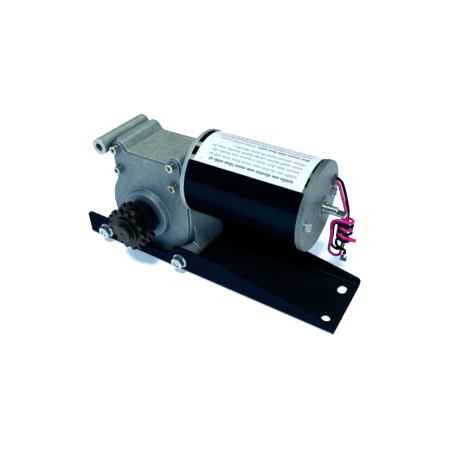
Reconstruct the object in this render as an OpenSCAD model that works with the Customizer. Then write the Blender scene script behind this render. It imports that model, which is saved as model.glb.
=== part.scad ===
// Permanent-magnet worm gearmotor with a double sprocket, on a folded channel bracket.
// X runs along the motor axis towards the end cap, -Y faces the sprocket side, Z is up.
// The origin is under the output shaft, on the bracket's bottom face, in the motor's mid plane.

/* [Bracket] */
// Sheet thickness
sheet_t = 3; // [2:0.5:4]
// Left end of the bracket from the output shaft
bracket_left = -84; // [-100:1:-80]
// Right end of the bracket from the output shaft
bracket_right = 216; // [205:1:240]
// Height of the flanges beside the gear housing
flange_h = 31; // [28:1:34]
// Height of the flanges at the right end
flange_low = 9; // [6:1:14]
// Height of the flange where it dips below the sprocket
flange_dip = 16; // [12:1:18]

/* [Motor] */
// Height of the motor axis above the bracket's bottom face
motor_z = 103; // [103:1:106]
// Outer radius of the motor can
can_r = 41; // [40:0.5:42]
// Outer radius of the end cap and the housing flange
cap_r = 42; // [42:0.5:44]
// Where the motor can starts
can_x0 = 56; // [56:1:58]
// Where the motor can ends
can_x1 = 169; // [168:1:172]
// Thickness of the end cap
cap_t = 5; // [4:0.5:7]
// Radius of the armature shaft where it runs in its bearings
journal_r = 5; // [5:0.1:5]
// Radius of the shaft tail outside the end cap
tail_r = 4; // [3.5:0.1:4.5]
// Length of the half-round end of the shaft tail
tail_cut = 7; // [5:1:12]

/* [Gears] */
// Distance from the worm axis down to the output axis
centre_distance = 50; // [50:1:50]
// Module of the worm and the wheel
gear_m = 2; // [2:1:2]
// Teeth on the worm wheel
wheel_teeth = 40; // [40:1:40]
// Turns of thread on the worm, an even number so that it meshes at rest
worm_turns = 8; // [6:2:8]
// Thinning of each tooth flank for backlash
flank_gap = 0.2; // [0.15:0.05:0.3]
// Width of the worm wheel
wheel_w = 16; // [12:1:18]

/* [Sprocket] */
// Chain pitch
chain_pitch = 9.525; // [9.525:0.001:9.525]
// Teeth in each row
sprocket_teeth = 14; // [14:1:15]
// Chain roller diameter
roller_d = 5.08; // [5:0.01:5.2]
// Thickness of a toothed row
row_t = 4.3; // [3.8:0.1:4.4]
// Distance from the motor's mid plane to the inner row
inner_row_y = 52.5; // [51:0.5:54]
// Turn of the sprocket on its shaft at rest
sprocket_turn = 11; // [0:1:25]
// Distance between the two rows
row_spacing = 14; // [12:0.5:15]

/* [Output shaft] */
// Radius of the output shaft
shaft_r = 9.5; // [9:0.5:10]
// Distance from the mid plane to the shaft's free end
shaft_end = 75; // [74:1:80]
// Running clearance of every bore that a shaft turns in
running_gap = 0.05; // [0.02:0.01:0.1]

/* [Leads] */
// Diameter of one lead
lead_d = 3; // [2.5:0.1:3.1]
// Distance between two turns of one wrapped lead
wrap_pitch = 9; // [8:0.5:10]

/* [Hidden] */
$fn = 96;

output_z = motor_z - centre_distance;

// The front flange carries the housing by two lower bosses, each with a nut behind it
boss_front = -41;
boss_rear = 23;
tube_rear = 28.5;
channel_front = boss_front - sheet_t;
channel_rear = 32;
bolt_x = [-56, 46];
bolt_z = 15;
bolt_r = 4;
bolt_hole_r = 4.3;
nut_t = 5.8;
tube_x = -46.5;
tube_z = motor_z + 18.5;
boss_r = 10.4;
base_hole_x = 203;
round_hole_y = -28.5;
slot_y = 15;
base_hole_r = 4.25;
slot_len = 13;

// Gear housing and cover
body_front = -28.5;
body_rear = 28.5;
gasket_t = 0.5;
cover_back = body_front - gasket_t;
cover_face = -32;
cover_boss_face = -38.5;
screw_places = [
    [-31.5, motor_z + 17], [-31.5, motor_z - 6], [38, motor_z + 17], [38, motor_z - 6],
    [-33.5, output_z - 33.5]
];
screw_r = 2.4;
screw_head_r = 4.2;
screw_head_h = 4.8;
washer_t = 1.3;
cavity_r = 43.5;
cavity_rear = 11;
tunnel_r = 13;
flange_x = 52.5;
spigot_r = can_r - 2.25;
spigot_len = 6;
bush_r = 13;
seal_r = 15;

// Gears
pitch_r = gear_m * wheel_teeth / 2;
worm_pitch_r = centre_distance - pitch_r;
worm_lead = PI * gear_m;
worm_x = 32;
thread_tip = worm_pitch_r + gear_m;
thread_root = worm_pitch_r - 1.2 * gear_m;
helix = atan(worm_lead / (2 * PI * worm_pitch_r));
pressure = 20;

// Armature
core_x0 = 74;
core_x1 = 132;
core_r = 27.4;
commutator_x0 = 145;
commutator_x1 = 159;
commutator_r = 12;
bearing_r = 13;
bearing_w = 8;
front_bearing_x = 45;
rear_bearing_x = 163;
cap_x0 = can_x1;
cap_x1 = can_x1 + cap_t;
cap_boss_x = cap_x1 + 3;
tail_x = 190;
cap_screw_y = 31;
cap_screw_z = motor_z - 1.5;
cap_screw_r = 2.2;

// Sprocket
sprocket_pitch_r = chain_pitch / (2 * sin(180 / sprocket_teeth));
sprocket_root_r = sprocket_pitch_r - roller_d / 2;
sprocket_tip_r = chain_pitch * (0.6 + 1 / tan(180 / sprocket_teeth)) / 2;
hub_back = -40;
groove_r = 15;
outer_row_y = inner_row_y + row_spacing;
screw_lean = 10;
hub_front = -(outer_row_y + row_t / 2 + 2.5);

// Leads: each one falls from the grommet, turns back in a loop and is wrapped round both
grommet_y = 29;
grommet_z = 115;
grommet_r = 5.4;
red_hole = [28.5, 113.4];
black_hole = [29.5, 117];
wrap_centre = [191, 30.5];
wrap_r = 6.4;

// Points of a wrap that starts in front at height z and winds down towards +X, -Y comes first
function wrap(z, turns) = [
    for (a = [0:30:360 * turns])
        [wrap_centre.x + wrap_r * sin(a), wrap_centre.y - wrap_r * cos(a), z - wrap_pitch * a / 360]
];

red_route = concat(
    [
        [170, red_hole.x, red_hole.y], [176, red_hole.x, red_hole.y], [178, 28.6, 112.6],
        [179.6, 28.8, 110.2],
        [181, 29, 106.5], [184.3, 29, 98], [187.8, 29, 89], [190.2, 29, 81], [191, 29, 74],
        [191, 29, 62], [191, 29, 50], [191, 29, 36], [189.2, 29, 31.8], [185, 29, 30],
        [180.8, 29, 31.8], [179, 29, 36], [179, 29, 46], [179, 28.5, 56], [178.6, 26, 66],
        [180.2, 23.6, 73.5], [185, 22.9, 77.4]
    ],
    wrap(77, 2),
    [[195, 24.2, 58.4], [199, 24.2, 58.82]]
);
black_route = concat(
    [
        [170, black_hole.x, black_hole.y], [176, black_hole.x, black_hole.y], [178.4, 29.8, 116],
        [180.8, 30.3, 113.6],
        [182.8, 31, 109], [185.5, 31.8, 101], [188.6, 32.2, 91.5], [190.8, 32.2, 83],
        [191.5, 32.2, 75], [191.5, 32.2, 62], [191.5, 32.2, 50], [191.5, 32.2, 42],
        [189.7, 32.2, 37.8], [185.5, 32.2, 36], [181.3, 32.2, 37.8], [179.5, 32.2, 42],
        [179.5, 32.2, 52], [179.3, 31.5, 61], [180.8, 28.4, 68.5], [183.2, 24.9, 72.2],
        [187, 23.6, 73.2]
    ],
    wrap(72.5, 3),
    [[193.6, 24.4, 44.8], [195.4, 25, 43.6], [196, 25.2, 42], [196, 25.2, 39.5]]
);

// Cylinder along Y
module along_y(x, z, r, y0, y1, r2 = 0) {
    translate([x, y0, z]) rotate([-90, 0, 0])
        cylinder(h = y1 - y0, r1 = r, r2 = r2 > 0 ? r2 : r);
}

// Cylinder along X on the motor axis, or beside it
module along_x(r, x0, x1, y = 0, z = motor_z, r2 = 0) {
    translate([x0, y, z]) rotate([0, 90, 0])
        cylinder(h = x1 - x0, r1 = r, r2 = r2 > 0 ? r2 : r);
}

// A flat outline in X and Z, thickened from y0 to y1
module plate_y(y0, y1) {
    translate([0, y1, 0]) rotate([90, 0, 0]) linear_extrude(y1 - y0) children();
}

module box(x0, x1, y0, y1, z0, z1) {
    translate([x0, y0, z0]) cube([x1 - x0, y1 - y0, z1 - z0]);
}

function unit(v) = v / norm(v);

// Points of one rounded corner at b, between a and c
function corner(a, b, c, r, steps = 6) =
    r == 0 ? [b] :
    let (
        u = unit(a - b), v = unit(c - b), half = acos(u * v) / 2,
        mid = b + unit(u + v) * r / sin(half),
        s = b + u * r / tan(half) - mid, e = b + v * r / tan(half) - mid,
        a0 = atan2(s.y, s.x), turn = (atan2(e.y, e.x) - a0 + 540) % 360 - 180
    )
    [for (i = [0:steps]) mid + r * [cos(a0 + turn * i / steps), sin(a0 + turn * i / steps)]];

// An outline given as [x, z, corner radius]
function rounded(p) = [
    for (i = [0:len(p) - 1])
        let (a = p[(i + len(p) - 1) % len(p)], b = p[i], c = p[(i + 1) % len(p)])
        each corner([a.x, a.y], [b.x, b.y], [c.x, c.y], b.z)
];

// A tube with flat ends through a list of points, swept as one polyhedron
function along(route, i) = unit(route[min(i + 1, len(route) - 1)] - route[max(i - 1, 0)]);
function across(v, t) = unit(v - (v * t) * t);
module swept_tube(route, r, sides = 8) {
    last = len(route) - 1;
    normals = [
        for (i = 0, n = across([0.3, 0.5, 0.8], along(route, 0)); i <= last;
             i = i + 1, n = across(n, along(route, min(i, last)))) n
    ];
    points = [
        for (i = [0:last], j = [0:sides - 1])
            let (a = 360 * j / sides)
            route[i] + r * (normals[i] * cos(a) + cross(along(route, i), normals[i]) * sin(a))
    ];
    walls = [
        for (i = [0:last - 1], j = [0:sides - 1])
            let (a = i * sides + j, b = i * sides + (j + 1) % sides)
            each [[a, b, a + sides], [b, b + sides, a + sides]]
    ];
    ends = [
        [for (j = [sides - 1:-1:0]) j],
        [for (j = [0:sides - 1]) last * sides + j]
    ];
    polyhedron(points, concat(walls, ends), convexity = 4);
}

// ---------------------------------------------------------------- bracket

// Side outline of the folded flanges
flange_outline = [
    [bracket_left, 0, 0], [bracket_left, flange_h, 5], [-48, flange_h, 5],
    [-39, flange_dip, 4], [30, flange_dip, 4], [38, flange_h, 5],
    [90, flange_h, 30], [bracket_right, flange_low, 5], [bracket_right, 0, 0]
];
bend_r = 5;

module channel_section(grow) {
    inner = bend_r - grow;
    translate([channel_front + bend_r, bend_r]) circle(r = inner);
    translate([channel_rear - bend_r, bend_r]) circle(r = inner);
    translate([channel_front + bend_r, grow]) square([channel_rear - channel_front - 2 * bend_r, 60]);
    translate([channel_front + grow, bend_r])
        square([channel_rear - channel_front - 2 * grow, 60]);
}

// The bracket is one folded sheet, kept as its floor and two flanges, parted where the bends start
front_bend = channel_front + bend_r;
rear_bend = channel_rear - bend_r;

module folded_sheet(y0, y1) {
    intersection() {
        translate([bracket_left, 0, 0]) rotate([90, 0, 90])
            linear_extrude(bracket_right - bracket_left) difference() {
                channel_section(0);
                channel_section(sheet_t);
            }
        plate_y(y0, y1) polygon(rounded(flange_outline));
    }
}

module bracket_floor() {
    slot_half = slot_len / 2 - base_hole_r;
    color("#1c1e21") difference() {
        box(bracket_left, bracket_right, front_bend, rear_bend, 0, sheet_t);
        translate([base_hole_x, round_hole_y, -1]) cylinder(h = sheet_t + 2, r = base_hole_r);
        for (s = [-1, 1])
            translate([base_hole_x, slot_y + s * slot_half, -1])
                cylinder(h = sheet_t + 2, r = base_hole_r);
        box(base_hole_x - base_hole_r, base_hole_x + base_hole_r,
            slot_y - slot_half, slot_y + slot_half, -1, sheet_t + 1);
    }
}

module bracket_front_flange() {
    color("#1c1e21") difference() {
        folded_sheet(channel_front - 1, front_bend);
        for (x = bolt_x) along_y(x, bolt_z, bolt_hole_r, channel_front - 1, boss_front + 1);
    }
}

module bracket_rear_flange() {
    color("#1c1e21") folded_sheet(rear_bend, channel_rear + 1);
}

module hex_y(x, z, across, y0, y1) {
    translate([x, y0, z]) rotate([-90, 0, 0]) cylinder(h = y1 - y0, d = across / cos(30), $fn = 6);
}

module bracket_bolts() {
    head_top = channel_front - 7.5;
    color("#c9ccc4") for (x = bolt_x) {
        along_y(x, bolt_z, bolt_r, channel_front, boss_rear + nut_t);
        along_y(x, bolt_z, 8.2, channel_front - 1.6, channel_front);
        along_y(x, bolt_z, 7, channel_front - 2.4, channel_front - 1.6, 8.2);
        difference() {
            intersection() {
                hex_y(x, bolt_z, 12.7, head_top, channel_front - 2.4);
                along_y(x, bolt_z, 6.4, head_top, channel_front - 2.4, 12);
            }
            along_y(x, bolt_z, 3.6, head_top - 1, head_top + 0.8);
        }
    }
}

module bracket_nuts() {
    color("#c2b98a") for (x = bolt_x) difference() {
        intersection() {
            hex_y(x, bolt_z, 12.7, boss_rear, boss_rear + nut_t);
            along_y(x, bolt_z, 8.4, boss_rear, boss_rear + nut_t, 6.6);
        }
        along_y(x, bolt_z, bolt_r, boss_rear - 1, boss_rear + nut_t + 1);
    }
}

// ---------------------------------------------------------------- gear housing

// Outline of the housing, or of the cover when inset
round_x = 2.5;
round_r = 49;
module housing_outline(inset = 0) {
    top = motor_z + 24 - inset;
    flat = motor_z + 15.5 - inset;
    polygon(rounded([
        [-38.5 + inset, output_z + 20, 0], [-38.5 + inset, top, 6.5 - inset],
        [-26.5 - inset, top, 5], [-19.5 - inset, flat, 4], [28.5 + inset, flat, 4],
        [33 + inset, top, 5], [45 - inset, top, 6.5 - inset], [46.5 - inset, motor_z + 4, 0],
        [51.5 - inset, motor_z - 26, 0], [round_x + round_r - inset, output_z, 0]
    ]));
    translate([0, output_z]) circle(r = round_r - inset);
    translate([round_x, output_z]) circle(r = round_r - inset);
    translate(screw_places[4]) circle(r = 7 - inset);
}

module screw_holes(r, y0, y1) {
    for (p = screw_places) along_y(p.x, p.y, r, y0, y1);
}

// Web that flows from the side of the body out over a lower boss; side is -1 left, 1 right
module boss_web(side) {
    x = side < 0 ? bolt_x[0] : bolt_x[1];
    edge = side < 0 ? -47 : 50.5;
    plate_y(web_front, boss_rear) polygon(rounded([
        [x + side * boss_r, bolt_z, 0], [edge + side * 2, bolt_z + 17, 14], [edge, output_z + 8, 0],
        [x - side * 40, output_z - 20, 0], [x - side * 8, bolt_z - 6, 0]
    ]));
}
web_front = -22;

// Lugs that stand in the motor can's notches
module can_lugs(x0, x1) {
    for (a = notch_angles) at_angle(a) box(x0, x1, -2.4, 2.4, spigot_r - 2, can_r - 0.1);
}

module gear_housing() {
    rib_r0 = 19;
    rib_r1 = 41;
    color("#a9b1b5") difference() {
        union() {
            plate_y(body_front, body_rear) housing_outline();
            // neck between the body and the round flange of the motor
            box(40, flange_x, -24, 24, motor_z - 24, motor_z + 15.5);
            along_x(cap_r, flange_x, can_x0);
            along_x(spigot_r, can_x0 - 1, can_x0 + spigot_len);
            along_x(11, -46, -36);
            // upper boss that runs through from front to rear, and its web
            along_y(tube_x, tube_z, 8.5, boss_front, tube_rear);
            box(tube_x, -34, web_front, tube_rear, motor_z + 12, motor_z + 22);
            // two lower bosses and their webs
            for (x = bolt_x) {
                along_y(x, bolt_z, boss_r - 1, boss_front, boss_front + 1, boss_r);
                along_y(x, bolt_z, boss_r, boss_front + 1, boss_rear);
            }
            for (side = [-1, 1]) boss_web(side);
            along_y(0, output_z, 18, cavity_rear, body_rear + 1.5);
            can_lugs(can_x0 - 1, can_x0 + notch_len[0] - 0.2);
        }
        along_y(0, output_z, cavity_r, body_front - 1, cavity_rear);
        along_x(tunnel_r, -30, can_x0 + 1);
        along_x(30, can_x0, can_x0 + spigot_len + 1);
        along_x(8, -44, -29);
        along_y(0, output_z, bush_r, cavity_rear - 1, 25);
        along_y(0, output_z, 10.5, 24, 27);
        along_y(tube_x, tube_z, 4.4, boss_front - 1, tube_rear + 1);
        for (x = bolt_x) along_y(x, bolt_z, bolt_r, boss_front - 1, boss_rear + 1);
        screw_holes(screw_r, body_front - 1, body_front + 16);
        for (s = [-1, 1]) along_x(cap_screw_r, flange_x - 4, can_x0 + 8, s * cap_screw_y, cap_screw_z);
        // pockets between ribs on the back
        difference() {
            along_y(0, output_z, rib_r1, body_rear - 9, body_rear + 1);
            along_y(0, output_z, rib_r0, body_rear - 10, body_rear + 2);
            for (a = [30:60:330])
                translate([0, body_rear - 10, output_z]) rotate([0, a, 0])
                    translate([0, 0, -2.5]) cube([60, 12, 5]);
        }
    }
}

module cover_gasket() {
    color("#3a3a38") difference() {
        plate_y(cover_back, body_front) housing_outline(1);
        along_y(0, output_z, cavity_r, cover_back - 1, body_front + 1);
        screw_holes(screw_r + 0.4, cover_back - 1, body_front + 1);
        for (x = bolt_x) along_y(x, bolt_z, boss_r + 0.6, cover_back - 1, body_front + 1);
    }
}

module front_cover() {
    color("#b4bcc0") difference() {
        union() {
            plate_y(cover_face, cover_back) housing_outline(1);
            along_y(0, output_z, 26.6, cover_boss_face + 0.8, cover_face, 28.2);
            along_y(0, output_z, 25.8, cover_boss_face, cover_boss_face + 0.8, 26.6);
            along_y(0, output_z, 18, cover_back - 1, -15);
        }
        along_y(0, output_z, bush_r, -31, -14);
        along_y(0, output_z, shaft_r + 1.5, -33, -30);
        along_y(0, output_z, seal_r, cover_boss_face - 1, -32.5);
        screw_holes(screw_r + 0.4, cover_face - 1, cover_back + 1);
        for (x = bolt_x) along_y(x, bolt_z, boss_r + 0.6, cover_face - 1, cover_back + 1);
    }
}

module cover_screws() {
    head_y = cover_face - washer_t;
    color("#8f8f88") for (p = screw_places) {
        along_y(p.x, p.y, screw_r, head_y, body_front + 14);
        difference() {
            along_y(p.x, p.y, screw_head_r, head_y - screw_head_h, head_y);
            hex_y(p.x, p.y, 4, head_y - screw_head_h - 1, head_y - screw_head_h + 2.6);
        }
    }
}

module cover_lock_washers() {
    color("#77776f") for (p = screw_places) difference() {
        along_y(p.x, p.y, 4.4, cover_face - washer_t, cover_face);
        along_y(p.x, p.y, screw_r, cover_face - 3, cover_face + 1);
        box(p.x - 0.4, p.x + 0.4, cover_face - 3, cover_face + 1, p.y + 1, p.y + 6);
    }
}

// ---------------------------------------------------------------- output side

module shaft_seal() {
    color("#151515") difference() {
        along_y(0, output_z, seal_r, cover_boss_face + 0.5, -32.5);
        along_y(0, output_z, shaft_r + running_gap, -40, -30);
        along_y(0, output_z, shaft_r + 3, -40, cover_boss_face + 2);
    }
}

module output_bush(y0, y1) {
    color("#b08d4f") difference() {
        along_y(0, output_z, bush_r, y0, y1);
        along_y(0, output_z, shaft_r + running_gap, y0 - 1, y1 + 1);
    }
}
module output_bush_front() { output_bush(-31, -15); }
module output_bush_rear() { output_bush(cavity_rear + 1, 25); }

key_w = 4.8;
module shaft_key(y0, y1) {
    box(-key_w / 2, key_w / 2, y0, y1, output_z + shaft_r - 2.4, output_z + shaft_r + 2.2);
}

module output_shaft() {
    color("#6d7073") difference() {
        union() {
            along_y(0, output_z, shaft_r, -shaft_end + 1, 24);
            along_y(0, output_z, shaft_r - 1, -shaft_end, -shaft_end + 1, shaft_r);
        }
        shaft_key(-7, 7);
        shaft_key(hub_front - 1, -44);
        difference() {
            along_y(0, output_z, shaft_r + 1, hub_front - 1.3, hub_front);
            along_y(0, output_z, shaft_r - 0.8, hub_front - 2, hub_front + 1);
        }
        along_y(0, output_z, 1.6, -shaft_end - 1, -shaft_end + 2.5);
    }
}

module wheel_key() { color("#808284") shaft_key(-7, 7); }
module sprocket_key() { color("#808284") shaft_key(hub_front + 0.5, -44); }

// Half thickness of a wheel tooth, in degrees, at radius r
function involute(a) = tan(a) * 180 / PI - a;
base_r = pitch_r * cos(pressure);
function half_tooth(r) =
    90 / wheel_teeth - flank_gap / pitch_r * 180 / PI
    + involute(pressure) - involute(acos(min(1, base_r / r)));
tooth_radii = [for (k = [-1.25, -0.6, 0, 0.5, 1]) pitch_r + k * gear_m];
wheel_profile = [
    for (t = [0:wheel_teeth - 1])
        each concat(
            [for (r = tooth_radii) r * [cos(t * 360 / wheel_teeth - half_tooth(r)),
                                        sin(t * 360 / wheel_teeth - half_tooth(r))]],
            [for (i = [len(tooth_radii) - 1:-1:0]) let (r = tooth_radii[i])
                r * [cos(t * 360 / wheel_teeth + half_tooth(r)),
                     sin(t * 360 / wheel_teeth + half_tooth(r))]]
        )
];

module worm_wheel() {
    twist = wheel_w * tan(helix) / pitch_r * 180 / PI;
    color("#b98d45") difference() {
        union() {
            difference() {
                translate([0, wheel_w / 2, output_z]) rotate([90, 0, 0])
                    rotate([0, 0, 90 - twist / 2])
                    linear_extrude(wheel_w, twist = -twist, slices = 2) polygon(wheel_profile);
                along_y(0, output_z, 34, -20, 20);
            }
            along_y(0, output_z, 34, -5, 5);
            along_y(0, output_z, 16, -14.8, cavity_rear - 0.2);
        }
        along_y(0, output_z, shaft_r, -20, 20);
        shaft_key(-7, 7);
        for (a = [0:60:300])
            translate([0, 0, output_z]) rotate([0, a, 0]) along_y(25, 0, 5.5, -10, 10);
    }
}

// One toothed row: round seats between teeth that narrow to their tips
module sprocket_row(y) {
    half = 180 / sprocket_teeth;
    plate_y(y - row_t / 2, y + row_t / 2) translate([0, output_z]) rotate(-sprocket_turn) difference() {
        circle(r = sprocket_tip_r);
        for (i = [0:sprocket_teeth - 1]) rotate(i * 2 * half) {
            translate([sprocket_pitch_r, 0]) circle(r = roller_d / 2, $fn = 32);
            polygon([
                [sprocket_pitch_r, -roller_d / 2], [sprocket_tip_r + 1, -roller_d / 2 - 1.1],
                [sprocket_tip_r + 1, roller_d / 2 + 1.1], [sprocket_pitch_r, roller_d / 2]
            ]);
        }
    }
}

module sprocket() {
    mid = -(inner_row_y + row_spacing / 2);
    color("#1b1f22") difference() {
        union() {
            sprocket_row(-inner_row_y);
            sprocket_row(-outer_row_y);
            along_y(0, output_z, sprocket_root_r - 0.2, hub_back - 10, hub_back);
            along_y(0, output_z, groove_r, hub_front, hub_back - 5);
        }
        along_y(0, output_z, shaft_r, -90, -30);
        shaft_key(hub_front - 1, -44);
        translate([0, mid, output_z]) rotate([0, screw_lean, 0]) cylinder(h = 30, r = 3, $fn = 48);
    }
}

module sprocket_screw() {
    mid = -(inner_row_y + row_spacing / 2);
    color("#a8a06a") translate([0, mid, output_z]) rotate([0, screw_lean, 0]) difference() {
        translate([0, 0, shaft_r + 2.9]) cylinder(h = groove_r - shaft_r - 0.1, r = 3, $fn = 48);
        translate([0, 0, groove_r + 0.5]) cylinder(h = 6, d = 3 / cos(30), $fn = 6);
    }
}

module retaining_ring() {
    color("#3c4043") difference() {
        along_y(0, output_z, shaft_r + 2.2, hub_front - 1.2, hub_front - 0.1);
        along_y(0, output_z, shaft_r - 0.8, hub_front - 3, hub_front + 1);
        box(-2.5, 2.5, hub_front - 3, hub_front + 1, output_z - 20, output_z);
    }
}

// ---------------------------------------------------------------- armature and worm

// The worm's thread as one ribbon wound round the core
module thread_ribbon() {
    steps = 24;
    slope = tan(pressure);
    half_pitch = worm_lead / 4 - flank_gap;
    tip_half = half_pitch - slope * gear_m;
    foot_r = thread_root - 0.8;
    foot_half = half_pitch + slope * (worm_pitch_r - foot_r);
    section = [[-foot_half, foot_r], [-tip_half, thread_tip], [tip_half, thread_tip], [foot_half, foot_r]];
    last = worm_turns * steps;
    points = [
        for (i = [0:last], p = section)
            let (a = 360 * i / steps, x = worm_lead * (i / steps - worm_turns / 2) + p.x)
            [x, -p.y * sin(a), p.y * cos(a)]
    ];
    walls = [
        for (i = [0:last - 1], j = [0:3])
            let (a = i * 4 + j, b = i * 4 + (j + 1) % 4)
            each [[a, b, a + 4], [b, b + 4, a + 4]]
    ];
    polyhedron(points, concat(walls, [[3, 2, 1, 0]], [[for (j = [0:3]) last * 4 + j]]), convexity = 20);
}

module worm() {
    color("#83878b") difference() {
        union() {
            along_x(thread_root, -worm_x + 4, worm_x + 10);
            translate([0, 0, motor_z]) thread_ribbon();
        }
        along_x(journal_r, -60, 60);
    }
}

module armature_shaft() {
    color("#8b9094") difference() {
        union() {
            along_x(journal_r, -43, cap_boss_x + 1);
            along_x(tail_r, -43, tail_x + tail_cut - 0.6);
            along_x(tail_r, tail_x + tail_cut - 0.6, tail_x + tail_cut, 0, motor_z, tail_r - 0.6);
            along_x(7, can_x0 + 2, rear_bearing_x - 1);
        }
        box(tail_x, tail_x + 20, -10, 10, motor_z, motor_z + 10);
    }
}

module bush_x(r_out, r_in, x0, x1) {
    difference() {
        along_x(r_out, x0, x1);
        along_x(r_in, x0 - 1, x1 + 1);
    }
}

module worm_end_bush() { color("#b08d4f") bush_x(8, journal_r + running_gap, -42, -30); }

module ball_bearing(x) {
    color("#a7abae") difference() {
        bush_x(bearing_r, journal_r + running_gap, x, x + bearing_w);
        bush_x(bearing_r - 2.2, journal_r + 2.2, x - 1, x + 0.6);
        bush_x(bearing_r - 2.2, journal_r + 2.2, x + bearing_w - 0.6, x + bearing_w + 1);
    }
}
module front_bearing() { ball_bearing(front_bearing_x); }
module rear_bearing() { ball_bearing(rear_bearing_x); }

module armature_core() {
    slots = 12;
    color("#5d6063") difference() {
        bush_x(core_r, 7, core_x0, core_x1);
        for (i = [0:slots - 1]) translate([0, 0, motor_z]) rotate([i * 360 / slots, 0, 0]) {
            box(core_x0 - 1, core_x1 + 1, -1, 1, core_r - 4, core_r + 2);
            translate([0, 0, -motor_z]) along_x(3.4, core_x0 - 1, core_x1 + 1, 0, motor_z + core_r - 7);
        }
    }
}

module winding_end(x0, x1) {
    difference() {
        union() {
            along_x(21, x0, (x0 + x1) / 2, 0, motor_z, 24);
            along_x(24, (x0 + x1) / 2, x1, 0, motor_z, 21);
        }
        along_x(7.4, x0 - 1, x1 + 1);
    }
}
module armature_windings() {
    color("#8a4a25") {
        winding_end(core_x1, core_x1 + 11);
        winding_end(core_x0 - 9, core_x0);
    }
}

module commutator() {
    bars = 24;
    color("#a86a3c") difference() {
        bush_x(commutator_r, 7, commutator_x0, commutator_x1);
        for (i = [0:bars - 1]) translate([0, 0, motor_z]) rotate([i * 360 / bars, 0, 0])
            box(commutator_x0 + 2, commutator_x1 + 1, -0.35, 0.35, commutator_r - 1, commutator_r + 1);
    }
}

// ---------------------------------------------------------------- motor casing

notch_angles = [22, 42, 158, 202, 318, 338];
notch_len = [5, 2.5];
module at_angle(a) {
    translate([0, 0, motor_z]) rotate([a, 0, 0]) children();
}

module motor_can() {
    color("#0f1012") difference() {
        along_x(can_r, can_x0, can_x1);
        along_x(spigot_r, can_x0 - 1, can_x1 + 1);
        for (a = notch_angles) at_angle(a) {
            box(can_x0 - 1, can_x0 + notch_len[0], -2.5, 2.5, spigot_r - 4, can_r + 2);
            box(can_x1 - notch_len[1], can_x1 + 1, -2.5, 2.5, spigot_r - 4, can_r + 2);
        }
    }
}

module field_magnets() {
    r_in = core_r + 1.2;
    color("#3d3b3a") difference() {
        bush_x(spigot_r, r_in, core_x0 - 4, core_x1 + 8);
        for (s = [-1, 1]) box(core_x0 - 10, core_x1 + 20, s > 0 ? 0 : -60, s > 0 ? 60 : 0,
                              motor_z - 16, motor_z + 16);
    }
}

// Wrap-round paper label over the top of the can
label_x0 = can_x0 + notch_len[0];
label_x1 = can_x1 - notch_len[1];
label_t = 0.25;
label_front = 45;
label_rear = 62;
module nameplate_label() {
    reach = 80;
    color("#e4e5e3") intersection() {
        bush_x(can_r + label_t, can_r, label_x0, label_x1);
        translate([label_x0 - 1, 0, motor_z]) rotate([90, 0, 90])
            linear_extrude(label_x1 - label_x0 + 2) polygon([
                [0, 0], reach * [-sin(label_front), cos(label_front)], [-reach / 3, reach],
                [reach / 3, reach], reach * [sin(label_rear), cos(label_rear)]
            ]);
    }
}

module end_cap() {
    color("#a2aaae") difference() {
        union() {
            along_x(cap_r, cap_x0, cap_x1 - 0.6);
            along_x(cap_r, cap_x1 - 0.6, cap_x1, 0, motor_z, cap_r - 0.6);
            along_x(14, cap_x1, cap_x1 + 0.8, 0, motor_z, 11);
            along_x(11, cap_x1 + 0.8, cap_boss_x - 0.5, 0, motor_z, 9.6);
            along_x(9.6, cap_boss_x - 0.5, cap_boss_x, 0, motor_z, 9);
            can_lugs(can_x1 - notch_len[1] + 0.2, can_x1 + 1);
            bush_x(spigot_r, spigot_r - 4, cap_x0 - spigot_len, cap_x0 + 1);
            along_x(16, rear_bearing_x - 1, cap_x0 + 1);
        }
        along_x(bearing_r, rear_bearing_x - 2, rear_bearing_x + bearing_w);
        along_x(journal_r + 1, rear_bearing_x, cap_boss_x + 1);
        for (s = [-1, 1])
            along_x(cap_screw_r + 0.3, cap_x0 - 1, cap_x1 + 1, s * cap_screw_y, cap_screw_z);
        along_x(grommet_r - 1, cap_x0 - 1, cap_x1 + 1, grommet_y, grommet_z);
    }
}

module end_cap_screws() {
    color("#b9bab2") for (s = [-1, 1]) {
        along_x(cap_screw_r, can_x0 - 5, cap_x1, s * cap_screw_y, cap_screw_z);
        difference() {
            union() {
                along_x(4.4, cap_x1, cap_x1 + 0.8, s * cap_screw_y, cap_screw_z);
                translate([cap_x1 + 0.8, s * cap_screw_y, cap_screw_z]) rotate([0, 90, 0])
                    cylinder(h = 3, d = 7 / cos(30), $fn = 6);
            }
            box(cap_x1 + 2.6, cap_x1 + 5, s * cap_screw_y - 4, s * cap_screw_y + 4,
                cap_screw_z - 0.5, cap_screw_z + 0.5);
        }
    }
}

// ---------------------------------------------------------------- brush gear

plate_x = 160;
module brush_plate() {
    color("#7a4b2a") difference() {
        bush_x(spigot_r - 4.2, 16.5, plate_x, plate_x + 1.8);
        for (s = [-1, 1])
            along_x(cap_screw_r + 0.6, plate_x - 1, plate_x + 3, s * cap_screw_y, cap_screw_z);
        along_x(4.5, plate_x - 1, plate_x + 3, 22, motor_z + 15);
    }
}

module for_each_brush() {
    for (s = [0, 1]) translate([0, 0, motor_z]) rotate([s * 180, 0, 0]) children();
}

module brush_holders() {
    color("#b79a55") for_each_brush() difference() {
        box(148, plate_x, -5, 5, commutator_r + 2, commutator_r + 19);
        box(149.2, 158.8, -3.5, 3.5, commutator_r, commutator_r + 17.8);
    }
}

module brushes() {
    color("#2b2b2d") for_each_brush()
        box(149.4, 158.6, -3.3, 3.3, commutator_r + running_gap, commutator_r + 10);
}

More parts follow.
